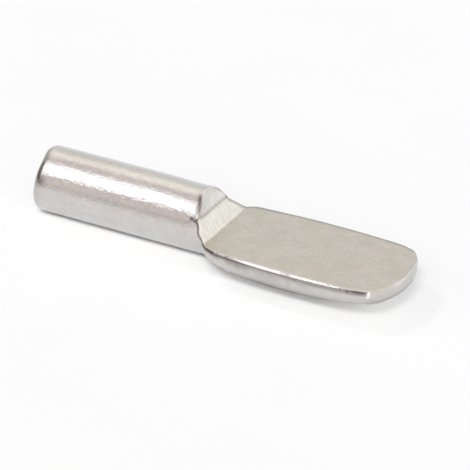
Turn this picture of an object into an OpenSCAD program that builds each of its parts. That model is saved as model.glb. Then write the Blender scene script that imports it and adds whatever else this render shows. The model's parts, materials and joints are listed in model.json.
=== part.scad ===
// Shelf support pin, paddle style.
// A round shank presses into a drilled hole in a cabinet side, and a flat blade carries the shelf.
// Both are one piece of wire: the blade is pressed flat, so the shank's keel still shows under it.
// Millimetres. +X runs from the shank to the blade's tip, +Z is up.
// The origin is on the shank's axis, at the shoulder where the pin leaves the cabinet side.

/* [Shank] */
// Diameter of the round shank
pin_d = 5; // [3:0.1:8]
// Length of the shank, from its free end to the shoulder
shank_len = 12.7; // [8:0.1:20]
// Chamfer around the free end
tail_chamfer = 0.3; // [0.1:0.05:0.8]
// How far the full-round keel runs on past the shoulder
keel_len = 0.4; // [0:0.1:2]
// Radius of the curve that lifts the keel into the blade
keel_r = 5; // [3:0.5:12]

/* [Shoulder] */
// Slope of the cap, from the top of the shank down to the crease, in degrees
cap_slope = 64; // [45:1:80]
// Height of the crease above the axis
crease_h = 1.05; // [0.6:0.05:1.4]
// Slope of the ramp, from the crease down to the seat, in degrees
ramp_slope = 48; // [30:1:70]
// Depth of the seat below the axis
seat_drop = 0.1; // [0:0.05:0.5]

/* [Blade outline] */
// Length of the blade, from the shoulder to the tip
blade_len = 15.9; // [12:0.1:25]
// Width across the sides
blade_w = 9.4; // [7:0.1:14]
// Distance from the shoulder to the widest place
belly_x = 8.5; // [6:0.1:10]
// Radius of each side's gentle bow
bow_r = 50; // [30:1:150]
// Distance back from the tip at which a side starts to turn in
corner_back = 2.9; // [2:0.1:4]
// Radius of each front corner's curve
corner_r = 5; // [4:0.1:6]
// Radius of the tip's edge
tip_r = 6.9; // [6:0.1:15]
// Spread of each flank from the axis, in degrees
flank_angle = 55; // [40:1:70]
// How far inside the shank's side each flank passes at the crease
flank_tuck = 0.05; // [0.03:0.01:0.3]
// Radius of the corner between flank and side
root_r = 1.75; // [1.4:0.05:2.5]

/* [Blade section] */
// Thickness of the blade
blade_t = 1.7; // [1.2:0.05:2.2]
// Thickness of the blade at its tip
tip_t = 1; // [0.7:0.05:1.2]
// Distance from the shoulder at which the underside starts to rise to the tip
taper_x = 8.2; // [6:0.1:10]
// Radius of the rounded edge all round
rim_r = 1.3; // [0.9:0.05:1.35]
// Lean of the edge's surface at the seat, in degrees from upright
rim_lean = 20; // [5:1:30]
// Lean of the tip's own edge at the seat, in degrees from upright
tip_lean = 33; // [10:1:44]
// Depth of the flanks' lower edge below the seat, at the shoulder
flank_drop = 0.2; // [0.1:0.05:0.5]
// Distance from the shoulder at which the flanks' lower edge starts to fall
flare_x = 0.5; // [0:0.1:1]
// Distance from the shoulder at which that edge reaches the blade's underside
flare_end_x = 4.3; // [3:0.1:5.5]

/* [Hidden] */
$fn = 96;

// Room for cutting tools past the faces that they cut
over = 2;
pin_r = pin_d / 2;
seat_z = -seat_drop;
under_z = seat_z - blade_t;
rim_in = rim_r * cos(rim_lean);
// The upright edge above the seat, which only the ramp keeps
wall_h = pin_r + over - seat_z;

// The shoulder's two creases. The flanks come out of the shank's side at the upper one.
crease_x = (pin_r - crease_h) / tan(cap_slope);
crease_y = sqrt(pow(pin_r, 2) - pow(crease_h, 2)) - flank_tuck;
ramp_foot_x = crease_x + (crease_h - seat_z) / tan(ramp_slope);

// Arc centres of the outline on the +Y side. Each arc meets the next one tangentially.
bow_c = [belly_x, blade_w / 2 - bow_r];
corner_dir = 90 - asin((blade_len - corner_back - belly_x) / bow_r);
corner_c = bow_c + (bow_r - corner_r) * [cos(corner_dir), sin(corner_dir)];
tip_c = [blade_len - tip_r, 0];
flank_dir = [cos(flank_angle), sin(flank_angle)];
flank_in = [sin(flank_angle), -cos(flank_angle)];
flank_start = [crease_x - crease_y / tan(flank_angle), 0];
// The root arc's centre lies root_r inside the flank and bow_r - root_r from the bow's centre
root_w = flank_start + root_r * flank_in - bow_c;
root_wd = root_w * flank_dir;
flank_len = -root_wd + sqrt(root_wd * root_wd - root_w * root_w + pow(bow_r - root_r, 2));
root_c = flank_start + root_r * flank_in + flank_len * flank_dir;
root_dir = atan2(root_c[1] - bow_c[1], root_c[0] - bow_c[0]);

// Section of the edge. The outline is at x = 0 and the blade's middle is towards -x.
module rim_section(reach, lean) {
    back = rim_r * cos(lean);
    intersection() {
        union() {
            translate([-back, seat_z - rim_r * sin(lean)])
                circle(r = rim_r);
            translate([-reach, under_z])
                square([max(reach - back, 0.01), blade_t]);
            translate([-reach, seat_z])
                square([reach, wall_h]);
        }
        translate([-reach, under_z])
            square([reach + rim_r, blade_t + wall_h]);
    }
}

// The edge carried round an arc of the outline, filled in as far as the reach
module rim_arc(centre, radius, from, to, reach, lean = rim_lean) {
    translate([centre[0], centre[1], 0])
        rotate_extrude(angle = to - from, start = from)
            intersection() {
                translate([radius, 0])
                    rim_section(reach, lean);
                translate([0, under_z])
                    square([radius + rim_r, blade_t + wall_h]);
            }
}

// One side of the blade: flank, root corner, bowed side and front corner
module half_blade() {
    translate([flank_start[0], flank_start[1], 0])
        rotate([0, 0, 90 + flank_angle])
            rotate([90, 0, 0])
                linear_extrude(height = flank_len)
                    rim_section(root_r, rim_lean);
    rim_arc(root_c, root_r, root_dir, 90 + flank_angle, root_r);
    rim_arc(bow_c, bow_r, corner_dir, root_dir, blade_w / 2);
    rim_arc(corner_c, corner_r, 0, corner_dir, corner_r);
}

// The middle of the blade. Its rear corners lie a little outside the root arcs' centres.
module blade_core() {
    spine_y = max(corner_c[1], rim_in / 2);
    corner_dir_in = (root_dir + 90 + flank_angle) / 2;
    root_p = root_c + (root_r - rim_in) / 2 * [cos(corner_dir_in), sin(corner_dir_in)];
    translate([0, 0, under_z])
        linear_extrude(height = blade_t + wall_h)
            polygon([
                flank_start,
                root_p,
                [corner_c[0], spine_y],
                [blade_len + over, spine_y],
                [blade_len + over, -spine_y],
                [corner_c[0], -spine_y],
                [root_p[0], -root_p[1]],
            ]);
}

// Everything behind the tip's round edge
module tip_limit() {
    rim_arc(tip_c, tip_r, 0, 360, tip_r, tip_lean);
    translate([-pin_d, -blade_w, under_z])
        cube([tip_c[0] + pin_d, 2 * blade_w, blade_t + wall_h]);
}

// Side view of the blade's room: flared at the root and thinner towards the tip
module side_limit() {
    rise = (blade_t - tip_t) / (blade_len - taper_x);
    rotate([90, 0, 0])
        translate([0, 0, -blade_w])
            linear_extrude(height = 2 * blade_w)
                polygon([
                    [crease_x - flank_tuck, seat_z + wall_h],
                    [crease_x - flank_tuck, seat_z],
                    [-pin_d, seat_z],
                    [-pin_d, seat_z - flank_drop],
                    [flare_x, seat_z - flank_drop],
                    [flare_end_x, under_z],
                    [taper_x, under_z],
                    [blade_len + over, under_z + rise * (blade_len + over - taper_x)],
                    [blade_len + over, seat_z + wall_h],
                ]);
}

module blade() {
    intersection() {
        union() {
            half_blade();
            mirror([0, 1, 0])
                half_blade();
            blade_core();
        }
        tip_limit();
        side_limit();
    }
}

// The shank, with its chamfered free end and the keel that fades out under the blade
module shank() {
    rotate([0, 90, 0])
        rotate_extrude() {
            polygon([
                [0, -shank_len],
                [pin_r - tail_chamfer, -shank_len],
                [pin_r, tail_chamfer - shank_len],
                [pin_r, keel_len],
                [0, keel_len],
            ]);
            intersection() {
                translate([pin_r - keel_r, keel_len])
                    circle(r = keel_r);
                translate([0, keel_len])
                    square([pin_r, keel_r]);
            }
        }
}

// The room above the cap, the ramp and the seat, as the press leaves it
module press_room() {
    rotate([90, 0, 0])
        translate([0, 0, -blade_w])
            linear_extrude(height = 2 * blade_w)
                polygon([
                    [-over / tan(cap_slope), pin_r + over],
                    [crease_x, crease_h],
                    [ramp_foot_x, seat_z],
                    [blade_len + over, seat_z],
                    [blade_len + over, pin_r + over],
                ]);
}

module shelf_pin() {
    color([0.72, 0.70, 0.67])
        difference() {
            union() {
                shank();
                blade();
            }
            press_room();
        }
}

shelf_pin();
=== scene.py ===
"""Shelf support pin, paddle style: the dressed model, its studio and its camera.

The pin is one closed surface. Rows run along the pin, from the shank's free end to the blade's tip. Columns
run round it, from the top's middle line down one side to the bottom's middle line. Its sizes come from the
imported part.
"""

import json
import logging
import math
from dataclasses import dataclass
from enum import Enum

import bmesh
import bpy
import numpy as np
from bpy.types import Material, Mesh, Node, NodeSocket, NodeTree, Object
from mathutils import Matrix, Vector

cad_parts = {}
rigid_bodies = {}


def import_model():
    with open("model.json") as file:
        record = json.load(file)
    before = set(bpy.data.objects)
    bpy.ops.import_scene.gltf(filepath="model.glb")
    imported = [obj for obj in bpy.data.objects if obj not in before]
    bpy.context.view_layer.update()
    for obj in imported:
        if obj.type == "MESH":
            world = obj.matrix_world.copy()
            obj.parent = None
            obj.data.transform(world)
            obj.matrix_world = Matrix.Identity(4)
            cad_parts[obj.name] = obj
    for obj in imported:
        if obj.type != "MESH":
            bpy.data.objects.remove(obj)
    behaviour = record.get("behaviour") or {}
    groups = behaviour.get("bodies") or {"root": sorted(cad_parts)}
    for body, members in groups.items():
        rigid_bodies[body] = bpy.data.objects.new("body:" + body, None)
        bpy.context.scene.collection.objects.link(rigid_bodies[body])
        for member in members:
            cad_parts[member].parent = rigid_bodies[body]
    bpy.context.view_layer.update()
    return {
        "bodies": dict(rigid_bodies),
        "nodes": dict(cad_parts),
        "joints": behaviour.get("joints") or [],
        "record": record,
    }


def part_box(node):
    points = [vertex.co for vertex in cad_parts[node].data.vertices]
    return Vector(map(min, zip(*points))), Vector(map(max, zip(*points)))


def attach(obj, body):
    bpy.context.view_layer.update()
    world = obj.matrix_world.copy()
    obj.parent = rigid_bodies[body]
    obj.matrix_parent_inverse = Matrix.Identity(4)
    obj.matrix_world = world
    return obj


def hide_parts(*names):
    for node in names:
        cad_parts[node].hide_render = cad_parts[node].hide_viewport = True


MM = 0.001
LOG = logging.getLogger("shelf_pin")
Array = np.ndarray
Values = float | np.ndarray
# Number of random values in a wander, and how far before the first one x = 0 lies, in steps
WANDER_VALUES = 4096
WANDER_START = 600.0
# Turns a point into its mirror image on the other side of the pin
MIRROR = np.array([1, -1, 1])
# x of the gap in the worn bevel along the blade's top edge, in millimetres
GAP_X = 8.6
# How often x is halved in on, where two surfaces meet
HALVINGS = 40
# Points closer than this are joined into one, in metres
DOUBLE_DIST = 2e-7


def smooth_max(a: Array, b: Array, k: Values) -> Array:
    """The larger of two values, with the kink between them rounded.

    Where the values differ by less than k, a quarter of k times the squared nearness is added.

    Args:
        a: First value.
        b: Second value.
        k: Width of the rounding, in the values' own unit.

    Returns:
        The rounded maximum.
    """
    near = np.clip(1.0 - np.abs(a - b) / k, 0.0, 1.0)
    return np.maximum(a, b) + 0.25 * k * near**2


def rise(x: Array, low: float, high: float) -> Array:
    """An S-curve that rises from 0 at low to 1 at high: 3t^2 - 2t^3 of the share t of the way."""
    t = np.clip((x - low) / (high - low), 0.0, 1.0)
    return t * t * (3.0 - 2.0 * t)


def bell(x: Array, centre: Values, width: Values) -> Array:
    """A bell curve of height 1: exp(-d^2), where d is the distance from the centre in widths."""
    return np.exp(-(((x - centre) / width) ** 2))


def wander(x: Array, step: float, seed: int) -> Array:
    """An even wander between 0 and 1 along x: seeded random values, a step apart, joined by S-curves.

    Args:
        x: Places.
        step: Distance between the random values, in x's own unit.
        seed: The generator's seed.

    Returns:
        The wander at each place.
    """
    values = np.random.default_rng(seed).random(WANDER_VALUES)
    place = np.asarray(x) / step + WANDER_START
    low = np.floor(place).astype(int)
    t = place - low
    t = t * t * (3.0 - 2.0 * t)
    return values[low % WANDER_VALUES] * (1.0 - t) + values[(low + 1) % WANDER_VALUES] * t


@dataclass(frozen=True)
class PinSizes:
    """The pin's sizes in millimetres, and its angles in degrees.

    x = 0 is the shoulder and z = 0 the shank's axis.
    """

    shank_r: float
    tail_x: float
    tip_x: float
    tail_back: float = 0.36
    tail_drop: float = 0.2
    # How far along the free end's curve its two inner handles lie, down and back, as shares
    tail_handles: tuple = (0.8, 0.75)
    keel_len: float = 0.4
    keel_r: float = 5.0
    keel_fillet: float = 1.0
    edge_fillet: float = 0.1
    cap_slope: float = 64.0
    crest_ease: float = 0.13
    crease_h: float = 1.05
    crease_fillet: float = 0.1
    ramp_slope: float = 48.0
    foot_fillet: float = 0.12
    foot_rag: float = 0.05
    seat_drop: float = 0.1
    half_w: float = 4.7
    belly_x: float = 8.5
    bow_r: float = 50.0
    corner_back: float = 2.9
    corner_r: float = 5.0
    tip_r: float = 6.9
    flank_angle: float = 55.0
    root_r: float = 1.75
    blade_t: float = 1.7
    tip_t: float = 1.0
    taper_x: float = 8.2
    flank_drop: float = 0.2
    flare_x: float = 0.6
    flare_end_x: float = 5.0
    under_fillet: float = 0.3
    rim_r: float = 1.3
    rim_lean: float = 20.0
    tip_lean: float = 33.0
    edge_r: float = 0.2
    tip_edge_r: float = 0.05
    worn_in: float = 0.05
    under_r: float = 0.25

    @classmethod
    def from_frame(cls, frame: dict) -> "PinSizes":
        """Reads the shank's radius from its mount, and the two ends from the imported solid's box.

        Args:
            frame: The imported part's frame.

        Returns:
            The sizes.
        """
        mounts = {m["name"]: m for m in frame["record"]["mounts"]}
        low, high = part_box("shelf_pin")
        bulge = cls.rim_r * (1.0 - math.cos(math.radians(cls.tip_lean)))
        return cls(
            shank_r=mounts["hole_shank"]["dims"]["r_mm"],
            tail_x=low[0] / MM,
            tip_x=high[0] / MM - bulge,
        )


@dataclass(frozen=True)
class Uneven:
    """How the pressed pin departs from true. Lengths are in millimetres, and lean and wider are shares."""

    corner_forward: float = 0.35
    corner_upright: float = 0.12
    root_wider: float = 0.068
    blade_wider: float = 0.033
    tail_lean: float = 0.065
    tail_pivot: float = 0.5
    cap_forward: float = 0.1
    cap_down: float = 0.05
    # Places on the near side where metal was squeezed out: centre, reach and shift, each as x, y and z
    squeezed: tuple = (
        ((1.15, -2.95, 0.4), (0.65, 0.6, 0.5), (-0.12, -0.28, 0.0)),
        ((0.62, -2.3, 0.92), (0.5, 0.45, 0.36), (-0.22, -0.07, 0.0)),
        ((0.1, -1.5, 1.95), (1.5, 0.9, 0.65), (0.13, 0.0, 0.0)),
        ((8.3, -4.0, -1.65), (3.6, 0.55, 0.4), (0.0, -0.1, -0.06)),
        ((14.2, -3.9, -1.3), (1.9, 1.2, 0.5), (0.0, 0.05, 0.08)),
    )

    def far_side(self, points: Array) -> Array:
        """The points of the +Y half, where the press struck a little off the middle.

        The half is wider, by one share of y at the root and another along the blade. Its front corner is
        drawn forwards by S-curves of x and y, and less so below the top edge, so its wall is more upright.

        Args:
            points: The half's points, as xyz.

        Returns:
            The moved points.
        """
        x, y, z = np.moveaxis(points, -1, 0)
        shift = self.corner_forward * rise(x, 11.0, 14.5) * rise(y, 0.0, 3.6)
        low = rise(-z, 0.12, 0.6)
        shift -= self.corner_upright * low * rise(x, 13.0, 14.8) * rise(y, 0.4, 2.2)
        share = self.root_wider + (self.blade_wider - self.root_wider) * rise(x, 1.8, 3.4)
        share = share * rise(x, -0.6, 0.6) * (1.0 - rise(x, 13.0, 15.5))
        return points + np.stack([shift, share * y, 0.0 * z], axis=-1)

    def near_side(self, points: Array) -> Array:
        """The points of the -Y half, moved where the press squeezed metal out.

        A point moves by each place's shift times exp(-d^2), d being its distance from the centre in reaches.

        Args:
            points: The half's points, as xyz.

        Returns:
            The moved points.
        """
        moved = points.copy()
        for centre, reach, shift in self.squeezed:
            d2 = (((points - centre) / reach) ** 2).sum(axis=-1)
            moved += np.exp(-d2)[..., None] * shift
        return moved

    def ends(self, points: Array, tail_x: float) -> Array:
        """The points, with both ends of the shank a little out of true.

        The free end's near side leans as a shear leaves it, about a line tail_pivot below the axis. At the
        shoulder the top is moved forwards and down, so the cap is steeper.

        Args:
            points: The whole pin's points, as xyz.
            tail_x: x of the free end.

        Returns:
            The moved points.
        """
        x, y, z = np.moveaxis(points, -1, 0)
        shift = self.tail_lean * (z + self.tail_pivot) * rise(-y, 0.1, 1.5)
        shift *= 1.0 - rise(x, tail_x + 0.3, tail_x + 2.5)
        high = rise(x, -3.5, -0.2) * rise(z, 1.1, 2.4)
        shift += self.cap_forward * high
        return points + np.stack([shift, 0.0 * y, -self.cap_down * high], axis=-1)


class PinForm:
    """The pin's curves, each a function of x along the pin."""

    def __init__(self, sizes: PinSizes) -> None:
        """Solves the outline's arcs so that each meets the next one tangentially.

        Args:
            sizes: The pin's sizes.
        """
        s = self.s = sizes
        self.seat_z = -s.seat_drop
        self.under_level = self.seat_z - s.blade_t
        self.cap_tan = math.tan(math.radians(s.cap_slope))
        self.ramp_tan = math.tan(math.radians(s.ramp_slope))
        self.crease_x = (s.shank_r - s.crease_h) / self.cap_tan
        self.foot_x = self.crease_x + (s.crease_h - self.seat_z) / self.ramp_tan
        flank = math.radians(s.flank_angle)
        self.flank_tan = math.tan(flank)
        crease_y = math.sqrt(s.shank_r**2 - s.crease_h**2)
        self.flank_x = self.crease_x - crease_y / self.flank_tan
        self.bow_c = np.array([s.belly_x, s.half_w - s.bow_r])
        turn = math.asin((s.tip_x - s.corner_back - s.belly_x) / s.bow_r)
        self.corner_c = self.bow_c + (s.bow_r - s.corner_r) * np.array([math.sin(turn), math.cos(turn)])
        self.tip_c = s.tip_x - s.tip_r
        along = np.array([math.cos(flank), math.sin(flank)])
        inward = np.array([math.sin(flank), -math.cos(flank)])
        start = np.array([self.flank_x, 0.0]) + s.root_r * inward
        w = start - self.bow_c
        reach = -w @ along + math.sqrt((w @ along) ** 2 - w @ w + (s.bow_r - s.root_r) ** 2)
        self.root_c = start + reach * along
        self.flank_end = float((self.root_c - s.root_r * inward)[0])
        out = (self.root_c - self.bow_c) / np.linalg.norm(self.root_c - self.bow_c)
        self.root_end = float((self.root_c + s.root_r * out)[0])
        self.corner_start = float(self.corner_c[0] + s.corner_r * math.sin(turn))

    def top_z(self, x: Array) -> Array:
        """Height of the pressed top: the highest of the cap's, the ramp's and the seat's lines, rounded.

        Args:
            x: Places along the pin.

        Returns:
            The height at each place.
        """
        s = self.s
        cap = s.shank_r - self.cap_tan * x
        ramp = s.crease_h - self.ramp_tan * (x - self.crease_x)
        return smooth_max(smooth_max(cap, ramp, s.crease_fillet), self.seat_z, s.foot_fillet)

    def under_z(self, x: Array) -> Array:
        """Height of the underside: the highest of the root's flare, the level part and the tip's rise.

        Args:
            x: Places along the pin.

        Returns:
            The height at each place.
        """
        s = self.s
        root_z = self.seat_z - s.flank_drop
        fall = (root_z - self.under_level) / (s.flare_end_x - s.flare_x)
        climb = (s.blade_t - s.tip_t) / (s.tip_x - s.taper_x)
        flare = root_z - fall * (x - s.flare_x)
        taper = self.under_level + climb * (x - s.taper_x)
        return smooth_max(smooth_max(flare, self.under_level, s.under_fillet), taper, s.under_fillet)

    def round_r(self, x: Array) -> Array:
        """Radius of the round shank, and past keel_len of the keel, which fades along an arc of keel_r.

        Args:
            x: Places along the pin.

        Returns:
            The radius at each place.
        """
        s = self.s
        past = np.maximum(x - s.keel_len, 0.0)
        arc = np.sqrt(np.maximum(s.keel_r**2 - past**2, 0.0)) - (s.keel_r - s.shank_r)
        return np.maximum(arc, 0.0)

    def outline(self, x: Array) -> tuple[Array, Array]:
        """Half of the blade's width, and how squarely its edge faces sideways.

        Straight flank, root arc, bow and front corner arc follow each other along x. On an arc the width is
        the centre's y plus the square root of r^2 - dx^2.

        Args:
            x: Places along the pin.

        Returns:
            The half width, and the outward normal's y component.
        """
        s = self.s
        parts_y = [(x - self.flank_x) * self.flank_tan]
        parts_n = [np.full_like(x, 1.0 / math.hypot(1, self.flank_tan))]
        for centre, r in ((self.root_c, s.root_r), (self.bow_c, s.bow_r), (self.corner_c, s.corner_r)):
            up = np.sqrt(np.maximum(r**2 - (x - centre[0]) ** 2, 1e-6))
            parts_y.append(centre[1] + up)
            parts_n.append(up / r)
        zones = [x < self.flank_end, x < self.root_end, x < self.corner_start]
        return np.select(zones, parts_y[:3], parts_y[3]), np.select(zones, parts_n[:3], parts_n[3])

    def edge_section(
        self, top: Values, under: Values, u: Array, edge_r: Values, lean: Values, worn: Values = 0.0
    ) -> tuple[Array, Array]:
        """Section of the blade's edge, from the top face round to the underside.

        Three arcs follow each other tangentially: a small one off the top face, the rim's own of radius
        rim_r, and one of radius under_r that ends level with the underside.

        Args:
            top: Height of the top face.
            under: Height of the underside.
            u: Place along the section: 0 to 1 on the small arc, 1 to 2 on the rim, 2 to 3 on the lower arc.
            edge_r: Radius of the small arc.
            lean: Lean of the rim at the top face, in degrees from upright.
            worn: Share of the way from the small arc to a straight bevel that starts worn_in further out.

        Returns:
            Distance outwards from the outline, and height.
        """
        s = self.s
        lean = np.radians(lean)
        rim_in, rim_z = s.rim_r * np.cos(lean), top - s.rim_r * np.sin(lean)
        sin_first = (top - edge_r - rim_z) / (s.rim_r - edge_r)
        first = np.arcsin(sin_first)
        # The rim keeps a little of its own arc, however thin the blade is
        sin_last = np.clip((under - rim_z + s.under_r) / (s.rim_r - s.under_r), -1.0, sin_first - 0.05)
        last = np.arcsin(sin_last)
        edge_o = -rim_in + (s.rim_r - edge_r) * np.cos(first)
        under_o = -rim_in + (s.rim_r - s.under_r) * np.cos(last)
        t1, t2, t3 = np.clip(u, 0, 1), np.clip(u - 1, 0, 1), np.clip(u - 2, 0, 1)
        a1 = math.pi / 2 + (first - math.pi / 2) * t1
        a2 = first + (last - first) * t2
        a3 = last + (-math.pi / 2 - last) * t3
        bevel_o = edge_o + s.worn_in + (edge_r * np.cos(first) - s.worn_in) * t1
        bevel_z = top - edge_r * (1 - np.sin(first)) * t1
        arc_o, arc_z = edge_o + edge_r * np.cos(a1), top - edge_r + edge_r * np.sin(a1)
        upper_o, upper_z = arc_o + worn * (bevel_o - arc_o), arc_z + worn * (bevel_z - arc_z)
        lower_o = under_o + s.under_r * np.cos(a3)
        lower_z = rim_z + (s.rim_r - s.under_r) * sin_last + s.under_r * np.sin(a3)
        zones = [u <= 1, u <= 2]
        out = np.select(zones, [upper_o, -rim_in + s.rim_r * np.cos(a2)], lower_o)
        high = np.select(zones, [upper_z, rim_z + s.rim_r * np.sin(a2)], lower_z)
        return out, high

    def edge_facing(self, under: Array, u: Array) -> Array:
        """Which way the seat's edge faces, for the grime on it, by the three arcs of edge_section.

        The angle changes evenly along each arc. Where the blade is thin, the rim ends slightly higher up
        than edge_section has it, where the angle's sine is 0.2.

        Args:
            under: Height of the underside.
            u: Place along the section, as in edge_section.

        Returns:
            Angle in degrees above level.
        """
        s = self.s
        rim_z = self.seat_z - s.rim_r * math.sin(math.radians(s.rim_lean))
        first = math.degrees(math.asin((self.seat_z - s.edge_r - rim_z) / (s.rim_r - s.edge_r)))
        last = np.degrees(np.arcsin(np.clip((under - rim_z + s.under_r) / (s.rim_r - s.under_r), -1.0, 0.2)))
        upper = [90 + (first - 90) * u, first + (last - first) * (u - 1)]
        return np.select([u <= 1, u <= 2], upper, last - (90 + last) * (u - 2))


@dataclass(frozen=True)
class GridSteps:
    """How finely the surface is divided: its columns first, then its rows from tail to tip."""

    face: int = 40
    edge: int = 7
    rim: int = 18
    lower: int = 6
    tail_rings: tuple = (0.25, 0.5, 0.7, 0.82)
    tail: int = 12
    shank: int = 70
    bend: int = 7
    cap: int = 14
    ramp: int = 26
    seat: int = 120
    # Share of the top's half width over which its columns are evenly spaced
    face_reach: float = 0.985
    # Side columns over which the shank's last row bends
    side_bend: int = 12
    # Powers by which the shank's rows crowd towards the shoulder and the seat's towards the ramp
    shank_crowd: float = 1.25
    seat_crowd: float = 1.05
    # Share of the shoulder's side rows that go with its rounded edge
    bend_share: float = 0.3

    @property
    def bend_row(self) -> int:
        """First row of the shoulder's rounded edge."""
        return len(self.tail_rings) + self.tail + self.shank

    @property
    def crest_row(self) -> int:
        """A row near the middle of the shoulder's rounded edge."""
        return self.bend_row + 4

    @property
    def cap_row(self) -> int:
        """First row of the cap."""
        return self.bend_row + self.bend

    @property
    def crease_row(self) -> int:
        """The cap's last row, on the crease."""
        return self.cap_row + self.cap - 1


@dataclass(frozen=True)
class TipEdge:
    """The tip's own edge: where the side's edge columns meet it, and its section at each top column."""

    mitre_x: Array
    low_y: float
    across: Array
    out: Array
    high: Array


class Side(Enum):
    """The pin's two halves, by the sign of y."""

    FAR = 1
    NEAR = -1


def corner_glint(u: Array) -> Array:
    """How strong the painted highlight on the near front corner is, from 0 to 1, at each place u of the
    edge's section.
    """
    return rise(u, 0.3, 0.7) * (1.0 - rise(u, 1.2, 1.5))


def tip_marks(u: Array, across: int, corner: int) -> dict[str, Array]:
    """Marks on the tip's wall: a painted dark line low down, and one painted highlight on the corner.

    Args:
        u: Place of each of the wall's rows along the edge's section.
        across: Number of the wall's columns.
        corner: The column at the near front corner.

    Returns:
        pressed, ramp and painted_shading, each with a row for every u.
    """
    each = np.repeat(u[:, None], across, axis=1)
    painted_shading = 0.5 * bell(each, 2.05, 0.22) + 0.05 * (each < 1.2)
    # Painted highlight on the near front corner
    painted_shading[:, corner] -= 0.7 * corner_glint(u)
    return {"pressed": np.full_like(each, 0.4), "ramp": 0.0 * each, "painted_shading": painted_shading}


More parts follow.
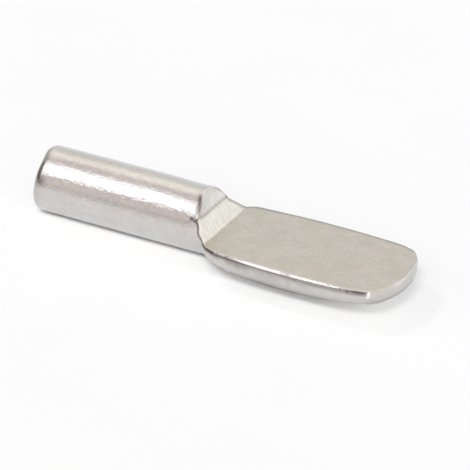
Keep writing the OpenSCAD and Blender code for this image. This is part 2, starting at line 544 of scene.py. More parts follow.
class PressAndShadeMap:
    """Where the press struck one half of the pin, and where light and shade are painted on it.

    Each mark is a share worked out from the row, the column and the place in millimetres. A painted shading
    below 0 is a painted highlight.
    """

    def __init__(self, form: PinForm, steps: GridSteps, u: Array, rows: Array, side: Side) -> None:
        """Keeps what the marks are worked out from.

        Args:
            form: The pin's curves.
            steps: How finely the surface is divided.
            u: Place of each edge column along the edge's section.
            rows: The half's rows of points, before any unevenness.
            side: Which half it is.
        """
        self.form, self.n, self.edge_count = form, steps, len(u)
        self.far = float(side is Side.FAR)
        self.x, self.y, self.z = np.moveaxis(rows, -1, 0)
        self.row = np.arange(rows.shape[0])[:, None]
        self.column = np.arange(rows.shape[1]) - steps.face
        self.u = np.interp(self.column, np.arange(len(u)), u)
        self.top = self.column <= 0
        self.on_blade = self.row >= steps.crease_row

    def marks(self) -> dict[str, Array]:
        """All three marks: two of the press, and the painted light and shade.

        The drawn wire's grain is pressed away on top, and a little on the edge and below.

        Returns:
            pressed, ramp and painted_shading, each with a value for every point of the rows.
        """
        past_foot = self.x - self.form.foot_x
        ramp = np.where(self.top & self.on_blade, 1.0 - rise(past_foot, -0.15, 0.12), 0.0)
        bend = np.clip((self.row - self.n.bend_row) / (self.n.bend - 1.0), 0.0, 1.0)
        on_edge = 0.15 * rise(self.u, 1.1, 1.4) * rise(self.x, 1.0, 2.5)
        struck = bend * np.where(self.column < 0, 1.0, on_edge)
        pressed = np.where(self.column < self.edge_count, struck, 0.35 * rise(self.x, 3.0, 5.0))
        # Painted shade from the dark lines and bands, capped, less the painted highlights
        dark = self._top() + self._blade_edge() + self._shank()
        return {"pressed": pressed, "ramp": ramp, "painted_shading": np.minimum(dark, 1.4) - self._painted_highlights()}

    def _top(self) -> Array:
        """Painted shade: dark lines in the crease and along the shoulder's crest, and a painted dark
        reflection on the far half's top edge.

        Returns:
            The painted shade at each point.
        """
        column, face = self.column, self.n.face
        in_crease = self.top & (self.row > self.n.cap_row)
        crease = np.where(in_crease, 0.42 * bell(self.x, self.form.crease_x, 0.075), 0.0)
        crest = 0.3 * bell(self.row, self.n.crest_row, 2.0) * self.top
        inwards = np.abs(self.y[:, face : face + 1] - self.y) * (column < 0) + 0.05 * np.maximum(column, 0)
        painted_dark = 0.85 * bell(inwards, 0.0, 0.2) * (self.row >= self.n.cap_row)
        turned = rise((column + face) / face, 0.3, 0.6) * (column < 4)
        painted_dark += 0.8 * bell(self.row, self.n.crest_row, 2.5) * turned
        return crease + crest + painted_dark * self.far

    def _blade_edge(self) -> Array:
        """Painted shade and painted dark reflections on the blade's edge.

        A painted dark line runs where the rim starts, lower beyond the ramp's foot and wider towards the tip.
        Below it lie a painted brown reflection of an uneven depth and a second painted dark band, where the
        edge faces 56 degrees down to the shaded floor. Painted dark breaks cut the edge's bright line.

        Returns:
            The painted shade at each point.
        """
        form, x, u = self.form, self.x, self.u
        wide = rise(x, 7.5, 11.0)
        level = 0.55 + 0.5 * rise(x, form.foot_x - 0.4, form.foot_x + 0.5)
        line = bell(u, level + 0.06 * wide, 0.065 + 0.05 * wide + 0.2 * (1.05 - level))
        brown = (1.2 - 0.7 * rise(x, 4.6, 6.2)) * (1.0 - rise(x, 10.0, 12.5))
        depth = np.clip((u - 1.04) / (0.25 + 0.35 * wander(x, 0.4, 12)), 0.0, 1.0)
        brown *= (1.0 - depth) ** 1.2 * rise(u, 0.8, 1.0) * (0.85 + 0.3 * wander(x, 0.5, 14))
        # Painted darker where the worn bevel's highlight has its gap
        brown = np.maximum(brown, 0.5 * bell(x, GAP_X, 0.25) * bell(u, 0.6, 0.5))
        facing = form.edge_facing(form.under_z(x), u)
        low = (1.1 + 0.4 * wander(x, 0.6, 17)) * bell(facing, -56.0, 17.0) * rise(x, 1.0, 2.5)
        # Painted shade near the root, just below the top edge
        thin = 0.55 * (1.0 - rise(x, 4.2, 5.4)) * rise(u, 0.15, 0.45) * (u < 1.0)
        # Painted dark breaks in the edge's bright line
        shine_breaks = 0.6 * rise(wander(x, 0.22, 31), 0.72, 0.9) * bell(u, 0.6, 0.3)
        line *= 0.66 + 0.25 * wander(x, 0.4, 9)
        painted_shading = np.maximum(line, np.maximum(brown, thin)) + low + shine_breaks
        return np.where(self.on_blade & ~self.top, painted_shading, 0.0)

    def _shank(self) -> Array:
        """Painted shade just behind the near half's cap, and painted dark reflections round the free end's
        rim, with a darker spot on its side.

        Returns:
            The painted shade at each point.
        """
        z = self.z
        to_cap = (self.form.s.shank_r - z) / self.form.cap_tan - self.x
        band = rise(z, 0.6, 0.9) * (1.0 - rise(z, 2.2, 2.45)) * rise(to_cap, 0.02, 0.12)
        band *= (0.55 + 0.8 * wander(z, 0.3, 41)) * bell(to_cap, 0.2, 0.19) * (self.x < 1.2)
        past = self.x - self.form.s.tail_x
        around = np.arctan2(z, self.y)
        first = len(self.n.tail_rings)
        on_rim = (self.row >= first) & (self.row < first + self.n.tail + 9)
        spot = bell(around, math.radians(17), 0.15) * bell(past, 0.45, 0.4)
        rim = 0.15 * rise(around, 0.25, 0.6) * (1.0 - rise(around, 1.2, 1.5)) + 0.15
        rim = rim * (1.0 - rise(past, 0.2, 0.8)) + spot
        return 1.15 * band * (1.0 - self.far) + rim * on_rim * (1.0 - 0.7 * self.far)

    def _painted_highlights(self) -> Array:
        """How strong the painted highlights on the near front corner and the lower part of the cap are.

        Returns:
            What the painted shading is lessened by at each point.
        """
        corner = 2.4 * bell(self.row, self.row[-1], 0.9) * corner_glint(self.u)
        corner = corner * (self.column >= 0) * (1.0 - self.far)
        on_cap = self.top & (self.row > self.n.cap_row) & (self.row < self.n.crease_row)
        return corner + 0.3 * rise(self.x, -0.05, 0.5) * on_cap


class PinSurface:
    """Works out the pin's one closed surface, as rows of points along it and columns round it."""

    def __init__(self, form: PinForm, steps: GridSteps, uneven: Uneven) -> None:
        """Lays out the columns, and the shoulder's lines along the top ones.

        Args:
            form: The pin's curves.
            steps: How finely the surface is divided.
            uneven: How the pin departs from true.
        """
        self.form, self.s, self.n, self.uneven = form, form.s, steps, uneven
        self.share = np.append(np.linspace(0.0, steps.face_reach, steps.face), 1.0)
        self.low_share = self.share[::-1][1:]
        self.u = np.concatenate(
            [
                np.linspace(0, 1, steps.edge + 1),
                np.linspace(1, 2, steps.rim + 1)[1:],
                np.linspace(2, 3, steps.lower + 1)[1:],
            ]
        )
        self.first_angles = self._blade_angles(np.full(self.side_count, form.crease_x))
        edge = self.side(np.full((1, self.side_count), form.crease_x))[0, 0]
        corner = math.atan2(edge[2], edge[1])
        turn = math.pi / 2 + (corner - math.pi / 2) * self.share[:-1]
        y, z = self.s.shank_r * np.cos(turn), self.s.shank_r * np.sin(turn)
        # The cap's upper edge, where its plane cuts the cylinder, and the crease
        self.rim = np.stack([(self.s.shank_r - z) / form.cap_tan, y, z], axis=-1)
        self.crease = np.stack([0 * y + form.crease_x, self.share[:-1] * edge[1], 0 * y + edge[2]], axis=-1)
        self.ease = np.minimum(self.s.crest_ease, 0.4 * np.linalg.norm(self.crease - self.rim, axis=-1))
        self.side_end = form.crease_x * np.clip(1 - np.arange(self.side_count) / steps.side_bend, 0, 1) ** 2

    @property
    def side_count(self) -> int:
        """How many columns lie below the top face, from its edge to the bottom's middle line."""
        return len(self.u) + self.n.face

    def _mid_z(self, x: Array) -> Array:
        """Height of the point that the section is swept round, midway between the blade's faces."""
        x = np.maximum(x, self.form.crease_x)
        return 0.5 * (self.form.top_z(x) + self.form.under_z(x))

    def _edge_points(self, x: Array) -> tuple[Array, Array]:
        """Where the edge's columns lie across the pin.

        Args:
            x: Places along the pin, one for each edge column.

        Returns:
            Sideways place and height.
        """
        form, s = self.form, self.s
        top, under = form.top_z(x), form.under_z(x)
        out, high = form.edge_section(top, under, self.u, s.edge_r, s.rim_lean, self.worn(x))
        half, facing = form.outline(x)
        return half + out / facing, high

    @staticmethod
    def worn(x: Array) -> Array:
        """How far the top edge is worn to a bevel, from 0 to 1: unevenly, and with one gap."""
        share = rise(x, 4.2, 5.5) * (1.0 - rise(x, 11.8, 12.6))
        return (1.0 - 0.3 * wander(x, 0.45, 5)) * share * (1.0 - 0.75 * bell(x, GAP_X, 0.22))

    def _blade_angles(self, x: Array) -> Array:
        """Angles, seen from the middle of the section, at which the blade's side columns lie.

        On the edge each column has the angle of its point in edge_section. On the underside the columns go
        from even angles, which suit the keel, to even widths, which suit the flat blade.

        Args:
            x: Places along the pin, one for each side column.

        Returns:
            The angles in radians, 0 sideways and -pi/2 straight down.
        """
        k = len(self.u)
        y, z = self._edge_points(x[..., :k])
        mid = self._mid_z(x)
        rim = np.arctan2(z - mid[..., :k], y)
        last = rim[..., -1:]
        by_angle = last + (-math.pi / 2 - last) * np.linspace(0, 1, self.n.face + 1)[1:]
        depth = self.form.under_z(x[..., k:]) - mid[..., k:]
        by_width = np.arctan2(depth, self.low_share * y[..., -1:])
        mix = rise(x[..., k:], 1.5, 5.0)
        return np.concatenate([rim, by_angle + (by_width - by_angle) * mix], axis=-1)

    def side(self, x: Array) -> Array:
        """The surface below the top face: the round shank and the blade's section, joined with a fillet.

        Both are distances from the section's middle along one direction, and the larger is taken with the
        kink rounded. The circle's is the root of its quadratic, and the blade's is that of its edge point or
        of its flat underside. The rounding grows from the top edge to the keel.

        Args:
            x: Places along the pin, one for each side column.

        Returns:
            The points, as xyz.
        """
        form, s, k = self.form, self.s, len(self.u)
        at = np.maximum(x, form.crease_x)
        mid = self._mid_z(x)
        angle = np.where(x < form.crease_x, self.first_angles, self._blade_angles(at))
        y, z = self._edge_points(at[..., :k])
        blade_rim = np.hypot(y, z - mid[..., :k])
        blade_flat = (form.under_z(at[..., k:]) - mid[..., k:]) / np.sin(angle[..., k:])
        grown = np.clip((x - form.flank_x) / (form.crease_x - form.flank_x), 0.0, 1.0)
        blade = np.concatenate([blade_rim, blade_flat], axis=-1) * grown
        root = form.round_r(x) ** 2 - (mid * np.cos(angle)) ** 2
        circle = np.where(root > 0, -mid * np.sin(angle) + np.sqrt(np.maximum(root, 0.0)), 0.0)
        low = rise(np.arange(self.side_count), 0.25 * k, 1.1 * k)
        far = smooth_max(circle, blade, s.edge_fillet + (s.keel_fillet - s.edge_fillet) * low)
        return np.stack([x, far * np.cos(angle), mid + far * np.sin(angle)], axis=-1)

    def _tail(self) -> Array:
        """Rows of the free end: rings on its flat face, then a cubic curve from the face to the cylinder.

        Returns:
            The rows, from the smallest ring outwards.
        """
        s, rings = self.s, self.n.tail_rings
        side = self.side(np.full((1, self.side_count), s.tail_x + s.tail_back))[0]
        tail = np.concatenate([self.rim, side])
        t = np.linspace(0, 1, self.n.tail + 1)[:-1]
        down, along = s.tail_handles
        drop = s.tail_drop * ((1 - t) ** 3 + 3 * t * (1 - t) ** 2 * down)
        back = s.tail_back * (3 * t**2 * (1 - t) * along + t**3)
        tail = tail[None] * np.concatenate([rings, 1 - drop / s.shank_r])[:, None, None]
        tail[..., 0] = s.tail_x + np.concatenate([np.zeros(len(rings)), back])[:, None]
        return tail

    def _shank(self) -> Array:
        """Rows of the shank, each a share of the way from the free end to the cap's edge.

        Returns:
            The rows, which crowd towards the shoulder.
        """
        s, n = self.s, self.n
        start = s.tail_x + s.tail_back
        t = 1 - (1 - np.linspace(0, 1, n.shank)[:, None]) ** n.shank_crowd
        top = np.repeat(self.rim[None], n.shank, axis=0)
        top[..., 0] = start + t * (self.rim[:, 0] - self.ease - start)
        return np.concatenate([top, self.side(start + t * (self.side_end - start))], axis=1)

    def _shoulder(self) -> Array:
        """Rows of the shoulder: a quadratic curve over its rounded edge, then straight down the cap.

        Returns:
            The rows, the last of them on the crease.
        """
        crease_x, to_crease = self.form.crease_x, self.crease - self.rim
        ease, room = self.ease[:, None], np.linalg.norm(to_crease, axis=-1, keepdims=True)
        before = self.rim - ease * [1, 0, 0]
        after = self.rim + to_crease / np.maximum(room, 1e-9) * ease
        t = np.linspace(0, 1, self.n.bend + 1)[1:, None, None]
        bend = (1 - t) ** 2 * before + 2 * t * (1 - t) * self.rim + t**2 * after
        share = self.n.bend_share * t
        t = np.linspace(0, 1, self.n.cap + 1)[1:, None, None]
        top = np.concatenate([bend, after + t * (self.crease - after)])
        share = np.concatenate([share, self.n.bend_share + (1 - self.n.bend_share) * t])[:, :, 0]
        return np.concatenate([top, self.side(self.side_end + share * (crease_x - self.side_end))], axis=1)

    def _tip_edge(self) -> TipEdge:
        """Works out the tip's own edge, which is keener than the sides' and leans more.

        The sides' edge meets it where the two plan curves at the same distance outwards cross. That x is
        halved in on, with the section of 1.3 behind the tip.

        Returns:
            The tip's edge.
        """
        form, s = self.form, self.s
        top, under = form.top_z(s.tip_x - 1.3), form.under_z(s.tip_x - 1.3)
        out, _ = form.edge_section(top, under, self.u, s.edge_r, s.rim_lean)
        low = np.full(len(self.u), form.corner_start)
        high = np.full(len(self.u), s.tip_x - 0.3)
        for _ in range(HALVINGS):
            mitre_x = 0.5 * (low + high)
            half, facing = form.outline(mitre_x)
            inside = np.hypot(mitre_x - form.tip_c, half + out / facing) < s.tip_r + out
            low, high = np.where(inside, mitre_x, low), np.where(inside, high, mitre_x)
        end = self.side(np.concatenate([mitre_x, np.full(self.n.face, mitre_x[-1])])[None])[0]
        across = end[0, 1] * self.share
        keen = s.tip_edge_r + (s.edge_r - s.tip_edge_r) * rise(self.share, 0.955, 1.0)
        lean = s.tip_lean + (s.rim_lean - s.tip_lean) * rise(self.share, 0.8, 1.0)
        under = form.under_z(form.tip_c + s.tip_r * np.cos(np.arcsin(across / s.tip_r)))[None]
        out, high = form.edge_section(form.seat_z, under, self.u[:, None], keen, lean)
        return TipEdge(mitre_x, end[len(self.u) - 1, 1], across, out, high)

    def _blade(self, tip: TipEdge) -> Array:
        """Rows of the ramp and the seat, from straight at the crease to bent like the tip's edge.

        Args:
            tip: The tip's edge.

        Returns:
            The rows.
        """
        form, s, n, k = self.form, self.s, self.n, len(self.u)
        end_x = tip.mitre_x[0]
        near_foot = form.foot_x + 0.3
        ramp_x = np.linspace(form.crease_x, near_foot, n.ramp + 1)[1:]
        seat_t = np.linspace(0, 1, n.seat + 1)[1:] ** n.seat_crowd
        row_x = np.concatenate([ramp_x, near_foot + seat_t * (end_x - near_foot)])[:, None]
        bend_t = np.concatenate([np.zeros(n.ramp), seat_t])[:, None]
        to_mitre = np.clip((row_x - s.belly_x) / (end_x - s.belly_x), 0, 1)
        side_x = row_x + to_mitre * np.concatenate([tip.mitre_x - end_x, np.zeros(n.face)])
        # The underside's rows bend like the tip's lower edge
        low_reach = s.tip_r + tip.out[-1, ::-1][1:]
        low_tip = form.tip_c + np.sqrt(low_reach**2 - (self.low_share * tip.low_y) ** 2)
        side_x[:, k:] = row_x + bend_t * (low_tip - end_x)
        side = self.side(side_x)
        last_y = side[:, k - 1 : k, 1]
        flat = rise(side_x[:, k:], 5.0, 6.5)
        side[:, k:, 1] += flat * (self.low_share * last_y - side[:, k:, 1])
        side[:, k:, 2] += flat * (form.under_z(side_x[:, k:]) - side[:, k:, 2])
        tip_x = form.tip_c + np.sqrt((s.tip_r + tip.out[0]) ** 2 - tip.across**2)
        x = row_x + bend_t * (tip_x[:-1] - end_x)
        y = self.share[:-1] * side[:, :1, 1]
        ragged = s.foot_rag * (wander(y, 0.3, 21) + wander(y, 0.8, 22) - 1.0) * (1 - self.share[:-1] ** 10)
        ragged = ragged * rise(x, form.crease_x + 0.3, form.foot_x - 0.1)
        z = np.where(x < form.foot_x + 0.5, form.top_z(x + ragged), form.seat_z)
        return np.concatenate([np.stack([x, y, z], axis=-1), side], axis=1)

    def half(self) -> tuple[Array, Array]:
        """Points of the half with y above 0.

        The tip's wall is its edge's section, turned about the centre of its arc.

        Returns:
            The rows from tail to tip as an array of rows, columns and xyz, with the columns of the top face
            first, and the tip's own wall as an array of edge columns, top columns and xyz.
        """
        tip, centre_x, face = self._tip_edge(), self.form.tip_c, self.n.face
        blade = self._blade(tip)
        corner = blade[-1, face : face + len(self.u)]
        corner_turn = np.arctan2(corner[:, 1], corner[:, 0] - centre_x)
        reach = self.s.tip_r + tip.out
        turn = np.arcsin(tip.across / reach[0]) * (corner_turn / corner_turn[0])[:, None]
        wall = np.stack([centre_x + reach * np.cos(turn), reach * np.sin(turn), tip.high + 0 * turn], axis=-1)
        return np.concatenate([self._tail(), self._shank(), self._shoulder(), blade]), wall

    def _faces(self, ring: tuple[int, int], tip: tuple[int, int]) -> list[list[int]]:
        """Joins the points: round the rows, over the tip's wall, and over the free end.

        Args:
            ring: Number of rows, and of columns round the pin.
            tip: Number of rows and of columns inside the tip's wall.

        Returns:
            The faces, each a list of point numbers.
        """
        k, face = len(self.u), self.n.face
        index = np.arange(ring[0] * ring[1]).reshape(ring)
        onward = np.roll(index, -1, axis=1)
        around = np.stack([index[:-1], index[1:], onward[1:], onward[:-1]], axis=-1)
        # The wall's grid runs from the +Y corner across the middle to the -Y corner
        last = index[-1]
        inner = index.size + np.arange(tip[0] * tip[1]).reshape(tip)
        top = np.concatenate([last[face::-1], last[: -face - 1 : -1]])
        low = last[face + k - 1 : 3 * face + k]
        left = last[face + 1 : face + k - 1][:, None]
        right = last[-face - 1 : -face - k + 1 : -1][:, None]
        body = np.concatenate([left, inner[:, face - 1 :: -1], inner[:, : face - 1 : -1], right], axis=1)
        grid = np.concatenate([top[None], body, low[None]])
        wall = np.stack([grid[:-1, :-1], grid[:-1, 1:], grid[1:, 1:], grid[1:, :-1]], axis=-1)
        middle = np.full(ring[1], index.size + inner.size)
        end = np.stack([middle, index[0], onward[0]], axis=-1)
        return [*around.reshape(-1, 4).tolist(), *wall.reshape(-1, 4).tolist(), *end.tolist()]

    def mesh(self, name: str) -> Mesh:
        """Joins the half, its mirror image and the tip's wall into one closed mesh.

        Args:
            name: The mesh's name.

        Returns:
            The mesh, in metres, with its faces pointing outwards.
        """
        rows, wall = self.half()
        tail_x, uneven = self.s.tail_x, self.uneven
        near_rows = uneven.near_side(rows[:, -2:0:-1] * MIRROR)
        ring = uneven.ends(np.concatenate([uneven.far_side(rows), near_rows], axis=1), tail_x)
        inner = wall[1:-1, :-1]
        tip = np.concatenate([uneven.far_side(inner), inner[:, :0:-1] * MIRROR], axis=1)
        points = np.concatenate([ring.reshape(-1, 3), tip.reshape(-1, 3), [[tail_x, 0.0, 0.0]]])
        mesh = bpy.data.meshes.new(name)
        mesh.from_pydata((points * MM).tolist(), [], self._faces(ring.shape[:2], tip.shape[:2]))
        far, near = (PressAndShadeMap(self.form, self.n, self.u, rows, side).marks() for side in Side)
        for label, wall_marks in tip_marks(self.u[1:-1], tip.shape[1], self.n.face).items():
            round_marks = np.concatenate([far[label], near[label][:, -2:0:-1]], axis=1)
            values = np.concatenate([round_marks.ravel(), wall_marks.ravel(), [0.0]])
            layer = mesh.attributes.new(label, "FLOAT", "POINT")
            layer.data.foreach_set("value", values.astype(np.float32))
        work = bmesh.new()
        work.from_mesh(mesh)
        bmesh.ops.remove_doubles(work, verts=work.verts, dist=DOUBLE_DIST)
        bmesh.ops.recalc_face_normals(work, faces=work.faces)
        work.to_mesh(mesh)
        work.free()
        mesh.shade_smooth()
        return mesh


class Socket(Enum):
    """Outputs of a Texture Coordinate node that a pattern reads."""

    OBJECT = "Object"
    DIRECTION = "Generated"


def put(name: str, data: object) -> Object:
    """Adds an object to the scene.

    Args:
        name: Its name.
        data: Its mesh, lamp or camera.

    Returns:
        The object.
    """
    item = bpy.data.objects.new(name, data)
    bpy.context.scene.collection.objects.link(item)
    return item


def grey(value: float) -> tuple[float, float, float, float]:
    """An opaque grey."""
    return (value, value, value, 1.0)


class Nodes:
    """A short way to add nodes to a tree and to join them."""

    def __init__(self, tree: NodeTree) -> None:
        """Empties the tree and keeps it."""
        self.tree = tree
        tree.nodes.clear()

    def add(self, kind: str, inputs: dict | None = None, **settings: object) -> Node:
        """Adds one node.

        Args:
            kind: The node's type without the ShaderNode prefix.
            inputs: Values or output sockets by input name or number.
            **settings: The node's own properties.

        Returns:
            The node.
        """
        node = self.tree.nodes.new("ShaderNode" + kind)
        for name, value in settings.items():
            setattr(node, name, value)
        for key, value in (inputs or {}).items():
            if isinstance(value, NodeSocket):
                self.tree.links.new(value, node.inputs[key])
            else:
                node.inputs[key].default_value = value
        return node

    def place(self, socket: Socket = Socket.OBJECT) -> NodeSocket:
        """Output of a Texture Coordinate node."""
        return self.add("TexCoord").outputs[socket.value]

    def axes(self, socket: Socket = Socket.OBJECT) -> list[NodeSocket]:
        """x, y and z of a Texture Coordinate node's output."""
        return list(self.add("SeparateXYZ", {0: self.place(socket)}).outputs)

    def math(self, operation: str, *values: object, clamp: bool = False) -> NodeSocket:
        """Output of a Math node over up to three values or sockets."""
        return self.add("Math", dict(enumerate(values)), operation=operation, use_clamp=clamp).outputs[0]

    def times(self, first: object, *others: object) -> object:
        """Multiplies any number of values or sockets.

        Args:
            first: A value or socket.
            *others: The rest of them.

        Returns:
            Their product.
        """
        for other in others:
            first = self.math("MULTIPLY", first, other)
        return first

    def rest(self, share: object) -> NodeSocket:
        """What a share leaves of 1."""
        return self.math("SUBTRACT", 1.0, share)

    def span(
        self, value: object, low: float, high: float, to_low: float = 0.0, to_high: float = 1.0
    ) -> NodeSocket:
        """Output of a smooth Map Range from low..high to to_low..to_high."""
        inputs = {"Value": value, "From Min": low, "From Max": high, "To Min": to_low, "To Max": to_high}
        return self.add("MapRange", inputs, interpolation_type="SMOOTHSTEP").outputs[0]

    def mix(self, factor: object, a: object, b: object, blend: str = "MIX") -> NodeSocket:
        """Colour output of a Mix node."""
        return self.add("Mix", {0: factor, 6: a, 7: b}, data_type="RGBA", blend_type=blend).outputs[2]

    def ramp(self, value: object, stops: tuple) -> NodeSocket:
        """Adds a Color Ramp.

        Args:
            value: What it is read at.
            stops: Pairs of a place and a colour, in order.

        Returns:
            The node's colour output.
        """
        node = self.add("ValToRGB", {"Fac": value})
        ramp = node.color_ramp
        for place, _ in stops[2:]:
            ramp.elements.new(place)
        for element, (place, colour) in zip(ramp.elements, stops):
            element.position = place
            element.color = (*colour, 1.0)
        return node.outputs[0]

    def noise(self, scale: tuple, detail: float = 2.0) -> NodeSocket:
        """Noise over the object, with its own scale along each axis, in features a metre."""
        mapped = self.add("Mapping", {"Vector": self.place(), "Scale": scale}).outputs[0]
        return self.add("TexNoise", {"Vector": mapped, "Scale": 1.0, "Detail": detail}).outputs[0]


@dataclass(frozen=True)
class NickelFinish:
    """Bright nickel plate: drawn lines along the round shank, fine grain where the press struck, and painted
    light and shade.
    """

    colour: tuple = (0.672, 0.627, 0.596, 1.0)
    cloud: tuple = (0.70, 0.655, 0.625, 1.0)
    stains: tuple = ((0.94, 0.93, 0.85, 1.0), (1.01, 0.955, 0.895, 1.0))
    ramp_stains: tuple = ((0.86, 0.86, 0.80, 1.0), (1.0, 1.0, 0.93, 1.0))
    # Colour that the painted shade darkens towards, and how strongly the painted shading reaches it
    painted_dark: tuple = (0.15, 0.1375, 0.13, 1.0)
    shade_depth: float = 0.71
    shank_rough: float = 0.13
    shank_spread: float = 0.03
    pressed_rough: float = 0.3
    pressed_spread: float = 0.05
    relief_m: float = 0.00003

    def build(self) -> Material:
        """Makes the material.

        Returns:
            The material, which reads Object coordinates and the piece's pressed, ramp and painted_shading
            attributes.
        """
        material = bpy.data.materials.new("nickel_plate_bright")
        material.use_nodes = True
        n = Nodes(material.node_tree)
        pressed, ramp, painted_shading = (
            n.add("Attribute", attribute_name=name).outputs["Fac"] for name in ("pressed", "ramp", "painted_shading")
        )
        lines = n.noise((260.0, 9000.0, 9000.0), 3.0)
        specks = n.noise((3300.0, 5200.0, 5200.0), 3.0)
        grain = n.noise((7500.0, 7500.0, 7500.0), 4.0)
        scores = n.noise((700.0, 5200.0, 700.0), 2.0)
        clouds = n.span(n.noise((420.0, 420.0, 420.0), 3.0), 0.35, 0.65)
        flecks = n.span(n.noise((3200.0, 4200.0, 4200.0), 3.0), 0.32, 0.68)
        mottle = n.span(n.noise((800.0, 800.0, 800.0), 3.0), 0.3, 0.7)

        tone = n.mix(clouds, self.colour, self.cloud)
        tone = n.mix(1.0, tone, n.mix(flecks, (0.95, 0.945, 0.94, 1.0), grey(1.02)), "MULTIPLY")
        stain = n.mix(mottle, *self.stains)
        stain = n.mix(ramp, stain, n.mix(n.span(scores, 0.35, 0.65), *self.ramp_stains))
        tone = n.mix(pressed, tone, n.mix(1.0, tone, stain, "MULTIPLY"))
        # Painted shade: the colour darkens towards painted_dark where the painted shading is above 0
        tone = n.mix(n.times(painted_shading, self.shade_depth), tone, self.painted_dark)
        # Painted highlight: where the painted shading is below 0, the colour goes towards white
        tone = n.mix(n.math("MULTIPLY", painted_shading, -1.0, clamp=True), tone, grey(1.0))

        drawn, spread = self.shank_rough, self.shank_spread
        shank_rough = n.span(lines, 0.3, 0.7, drawn - spread, drawn + spread)
        struck, spread = self.pressed_rough, self.pressed_spread
        face_rough = n.span(grain, 0.3, 0.7, struck - spread, struck + spread)
        rough = n.math("ADD", shank_rough, n.times(pressed, n.math("SUBTRACT", face_rough, shank_rough)))

        relief = n.math("ADD", n.times(lines, 0.1), n.times(specks, 0.72))
        face = n.math("ADD", n.times(grain, n.times(n.rest(ramp), 0.6)), n.times(scores, ramp))
        height = n.math("ADD", n.times(relief, n.rest(pressed)), n.times(face, pressed))
        bump = n.add("Bump", {"Strength": 1.0, "Distance": self.relief_m, "Height": height})
        shader = n.add(
            "BsdfPrincipled",
            {"Metallic": 1.0, "Base Color": tone, "Roughness": rough, "Normal": bump.outputs[0]},
        )
        n.add("OutputMaterial", {"Surface": shader.outputs[0]})
        return material


class PinPiece:
    """The whole pin: its surface, made a piece and dressed in nickel."""

    def __init__(self, surface: PinSurface, finish: NickelFinish) -> None:
        """Keeps the surface and the finish."""
        self.surface = surface
        self.finish = finish

    def build(self) -> Object:
        """Makes the piece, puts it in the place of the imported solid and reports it.

        Returns:
            The piece.
        """
        piece = put("pressed_pin", self.surface.mesh("pressed_pin"))
        piece.data.materials.append(self.finish.build())
        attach(piece, "root")
        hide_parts("shelf_pin")
        LOG.info("pressed_pin: %d points, %d faces", len(piece.data.vertices), len(piece.data.polygons))
        return piece


@dataclass(frozen=True)
class Paper:
    """A white floor under the pin, with a faint unevenness in its white.

    The camera sees it lifted towards pure white, less so close to the pin, where its shadow lies, and more by
    the tip, which paints that shadow lighter. The metal mirrors it with a painted shade, darker close to the
    pin and far off, by how far ahead of the pin a place on it is. Zones are in metres.
    """

    z: float
    half: float = 2.0
    lift: float = 0.38
    tip_lift: float = 0.2
    mirror_reach_mm: float = 50.0
    # The shadow's half width, at two places along the pin
    shadow_x: tuple = (0.0005, 0.0045)
    shadow_half: tuple = (0.001, 0.0034)
    # Places ahead, as shares of mirror_reach_mm, and the painted shade that the metal mirrors there
    mirrored: tuple = (
        (0.0, (0.885, 0.934, 0.975)),
        (0.09, (0.90, 0.94, 0.965)),
        (0.17, (0.955, 0.964, 0.966)),
        (0.22, (0.93, 0.93, 0.93)),
        (0.31, (0.85, 0.85, 0.85)),
        (0.46, (0.78, 0.78, 0.78)),
        (1.0, (0.74, 0.74, 0.74)),
    )

    def _seen_lift(self, n: Nodes) -> NodeSocket:
        """How far the floor that the camera sees is lifted towards white.

        Args:
            n: The material's nodes.

        Returns:
            The share.
        """
        x, y, _ = n.axes()
        aside = n.math("ABSOLUTE", y)
        (from_x, to_x), (from_half, to_half) = self.shadow_x, self.shadow_half
        widening = {"Value": x, "From Min": from_x, "From Max": to_x, "To Min": from_half, "To Max": to_half}
        past = n.math("SUBTRACT", aside, n.add("MapRange", widening).outputs[0])
        # Painted shade: close to the pin the lift is less, so its shadow stays darker
        under = n.times(n.span(x, -0.0135, -0.0123), n.span(past, 0.0005, -0.0004))
        under = n.times(under, n.span(x, 0.0025, 0.0045, 1.0, 0.5), n.span(x, 0.0135, 0.0095))
        # Painted light: by the tip the lift is more, so the shadow there is lighter
        tip_shadow_lightened = n.times(n.span(x, 0.0125, 0.0148), n.span(x, 0.0185, 0.016), n.span(aside, 0.0065, 0.0045))
        lift = n.math("ADD", n.times(n.rest(under), self.lift), n.times(tip_shadow_lightened, self.tip_lift))
        return n.times(n.add("LightPath").outputs["Is Camera Ray"], lift)

    def _material(self) -> Material:
        """Makes the paper's white.

        Returns:
            The material.
        """
        material = bpy.data.materials.new("paper_white")
        material.use_nodes = True
        n = Nodes(material.node_tree)
        tone = n.mix(n.span(n.noise((60.0, 60.0, 60.0), 3.0), 0.3, 0.7), grey(0.955), grey(0.965))
        ahead = n.math("DIVIDE", n.times(n.axes()[1], -1.0 / MM), self.mirror_reach_mm, clamp=True)
        # Painted shade in what the metal mirrors: the floor's tone for glossy rays changes with the distance
        # ahead
        mirrored = n.mix(1.0, tone, n.ramp(ahead, self.mirrored), "MULTIPLY")
        tone = n.mix(n.add("LightPath").outputs["Is Glossy Ray"], tone, mirrored)
        matt = n.add("BsdfDiffuse", {"Color": tone, "Roughness": 0.0})
        glow = n.add("Emission", {"Color": grey(1.0), "Strength": 1.0})
        shader = n.add("MixShader", {0: self._seen_lift(n), 1: matt.outputs[0], 2: glow.outputs[0]})
        n.add("OutputMaterial", {"Surface": shader.outputs[0]})
        return material

    def build(self) -> Object:
        """Makes the floor, a flat square.

        Returns:
            The sheet.
        """
        mesh = bpy.data.meshes.new("paper")
        h = self.half
        corners = [(-h, -h, self.z), (h, -h, self.z), (h, h, self.z), (-h, h, self.z)]
        mesh.from_pydata(corners, [], [(0, 1, 2, 3)])
        sheet = put("paper", mesh)
        mesh.materials.append(self._material())
        return sheet


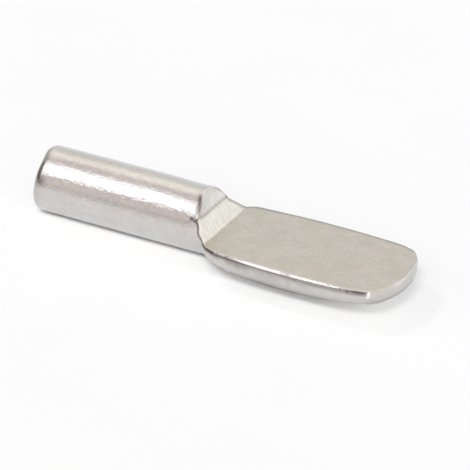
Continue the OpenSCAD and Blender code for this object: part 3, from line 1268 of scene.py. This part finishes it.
@dataclass(frozen=True)
class Lamp:
    """A distant lamp that the metal doesn't mirror. Its angle is its width seen from the pin, in degrees."""

    name: str
    toward: tuple
    angle: float
    share: float

    def build(self) -> None:
        """Adds the lamp.

        A distant lamp of strength S lights a level white floor as S sin(height) / pi, which is set to its
        share of the floor's brightness.
        """
        way = Vector(self.toward).normalized()
        data = bpy.data.lights.new(self.name, "SUN")
        data.energy = self.share * math.pi / way.z
        data.angle = math.radians(self.angle)
        lamp = put(self.name, data)
        lamp.rotation_euler = way.to_track_quat("Z", "Y").to_euler()
        lamp.visible_glossy = False


@dataclass(frozen=True)
class Surround:
    """The world: an even light for matt surfaces, white for the camera, and a ring for the metal."""

    ambient: float = 0.18
    front: float = 1.60
    spot_dir: tuple = (0.86, -0.46, 0.22)
    spot_colour: tuple = (3.0, 3.0, 3.0, 1.0)
    creams: tuple = ((1.12, 1.14, 1.21, 1.0), (1.35, 1.41, 1.46, 1.0))
    dark: tuple = (0.26, 0.245, 0.235, 1.0)
    # Lowest turn of the ring in degrees, and how many degrees it runs over
    ring_from: float = -20.0
    ring_turn: float = 220.0
    # Turn in degrees from the near horizon, over the top, and the ring's colour there
    ring: tuple = (
        (-20.0, (0.62, 0.60, 0.60)),
        (3.0, (0.62, 0.60, 0.60)),
        (7.0, (0.90, 0.84, 0.82)),
        (14.0, (0.84, 0.80, 0.78)),
        (24.0, (0.80, 0.76, 0.76)),
        (32.0, (0.80, 0.78, 0.80)),
        (36.0, (1.75, 1.80, 1.88)),
        (73.0, (1.75, 1.80, 1.88)),
        (77.0, (0.92, 0.90, 0.93)),
        (90.0, (0.86, 0.82, 0.84)),
        (98.0, (0.78, 0.74, 0.73)),
        (104.0, (1.08, 1.05, 0.99)),
        (112.0, (1.20, 1.20, 1.13)),
        (121.0, (1.18, 1.18, 1.12)),
        (134.0, (0.96, 0.97, 0.92)),
        (146.0, (0.80, 0.82, 0.80)),
        (160.0, (0.80, 0.82, 0.83)),
        (176.0, (0.92, 0.96, 1.00)),
    )

    def _mirrored(self, n: Nodes) -> NodeSocket:
        """What the metal mirrors: the ring, some lighter and darker places over it, and one bright spot.

        The ring's colour depends on the turn from the near horizon over the top to the far horizon.

        Args:
            n: The world's nodes.

        Returns:
            The colour.
        """
        x, y, z = n.axes(Socket.DIRECTION)
        turn = n.times(n.math("ARCTAN2", z, n.times(y, -1.0)), 180.0 / math.pi)
        last = self.ring_from + self.ring_turn
        place = n.add("MapRange", {"Value": turn, "From Min": self.ring_from, "From Max": last}).outputs[0]
        stops = tuple(((deg - self.ring_from) / self.ring_turn, colour) for deg, colour in self.ring)
        far = n.span(y, 0.45, 0.7)
        near = n.rest(far)
        aside = n.times(n.span(x, 0.42, 0.62), near)
        ring = n.mix(aside, n.ramp(place, stops), grey(0.95))
        right = n.times(n.span(x, -0.22, -0.10), n.math("SUBTRACT", near, aside), n.span(y, -0.12, -0.35))
        left = n.times(n.span(x, -0.46, -0.60), n.span(y, -0.05, 0.5, 1.0, 0.3))
        cream = n.mix(n.span(z, 0.08, 0.28), *self.creams)
        ring = n.mix(n.times(far, n.span(x, -0.05, 0.35)), ring, cream)
        ring = n.mix(n.math("MAXIMUM", left, right), ring, self.dark)
        way = {0: n.place(Socket.DIRECTION), 1: self.spot_dir}
        spot = n.add("VectorMath", way, operation="DOT_PRODUCT").outputs["Value"]
        return n.mix(n.span(spot, 0.962, 0.978), ring, self.spot_colour)

    def build(self) -> None:
        """Makes the world."""
        world = bpy.context.scene.world or bpy.data.worlds.new("studio")
        bpy.context.scene.world = world
        world.use_nodes = True
        n = Nodes(world.node_tree)
        light = n.add("LightPath").outputs
        ahead = n.times(n.math("MAXIMUM", n.times(n.axes(Socket.DIRECTION)[1], -1.0), 0.0), self.front)
        flat = n.add("Background", {"Color": grey(1.0), "Strength": n.math("ADD", ahead, self.ambient)})
        white = n.add("Background", {"Color": grey(1.0), "Strength": 1.0})
        shiny = n.add("Background", {"Color": self._mirrored(n), "Strength": 1.0})
        first = n.add("MixShader", {0: light["Is Glossy Ray"], 1: flat.outputs[0], 2: shiny.outputs[0]})
        last = n.add("MixShader", {0: light["Is Camera Ray"], 1: first.outputs[0], 2: white.outputs[0]})
        n.add("OutputWorld", {"Surface": last.outputs[0]})


@dataclass(frozen=True)
class Studio:
    """The floor, two soft lamps, and the light and dark that the metal mirrors."""

    floor_z: float
    lamps: tuple = (
        Lamp("key", (0.13, -0.95, 0.957), angle=20.0, share=0.40),
        Lamp("second", (-0.80, 0.22, 0.75), angle=9.0, share=0.09),
    )

    def build(self) -> None:
        """Makes the floor, the lamps and the world."""
        Paper(self.floor_z).build()
        for lamp in self.lamps:
            lamp.build()
        Surround().build()
        LOG.info("studio: floor at z = %.4f", self.floor_z)


@dataclass(frozen=True)
class View:
    """The camera's place and its sensor's width in millimetres, and its turn in radians."""

    place: tuple = (65.0416, -158.1645, 79.8588)
    azimuth: float = 0.37599486
    elevation: float = 0.44199475
    roll: float = 0.09724968
    lens: float = 199.15
    sensor: float = 36.0
    # Nearest and furthest distance that the camera sees, in metres
    clip: tuple = (0.005, 20.0)

    def build(self) -> Object:
        """Makes the camera and sets it as the scene's.

        It starts looking straight down. It is rolled about its own axis, tilted up until it looks down by
        the elevation, and turned by the azimuth.

        Returns:
            The camera.
        """
        data = bpy.data.cameras.new("camera")
        data.lens, data.sensor_width, data.sensor_fit = self.lens, self.sensor, "HORIZONTAL"
        data.clip_start, data.clip_end = self.clip
        camera = put("camera", data)
        turns = ((self.azimuth, "Z"), (math.pi / 2 - self.elevation, "X"), (self.roll, "Z"))
        turn, tilt, roll = (Matrix.Rotation(angle, 4, axis) for angle, axis in turns)
        camera.matrix_world = Matrix.Translation(Vector(self.place) * MM) @ turn @ tilt @ roll
        bpy.context.scene.camera = camera
        return camera


def main() -> None:
    """Builds the pin, the studio and the camera."""
    logging.basicConfig(level=logging.INFO, format="%(name)s: %(message)s")
    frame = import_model()
    sizes = PinSizes.from_frame(frame)
    PinPiece(PinSurface(PinForm(sizes), GridSteps(), Uneven()), NickelFinish()).build()
    Studio(floor_z=-sizes.shank_r * MM).build()
    View().build()
    bpy.context.scene.view_settings.view_transform = "Standard"


if __name__ == "__main__":
    main()
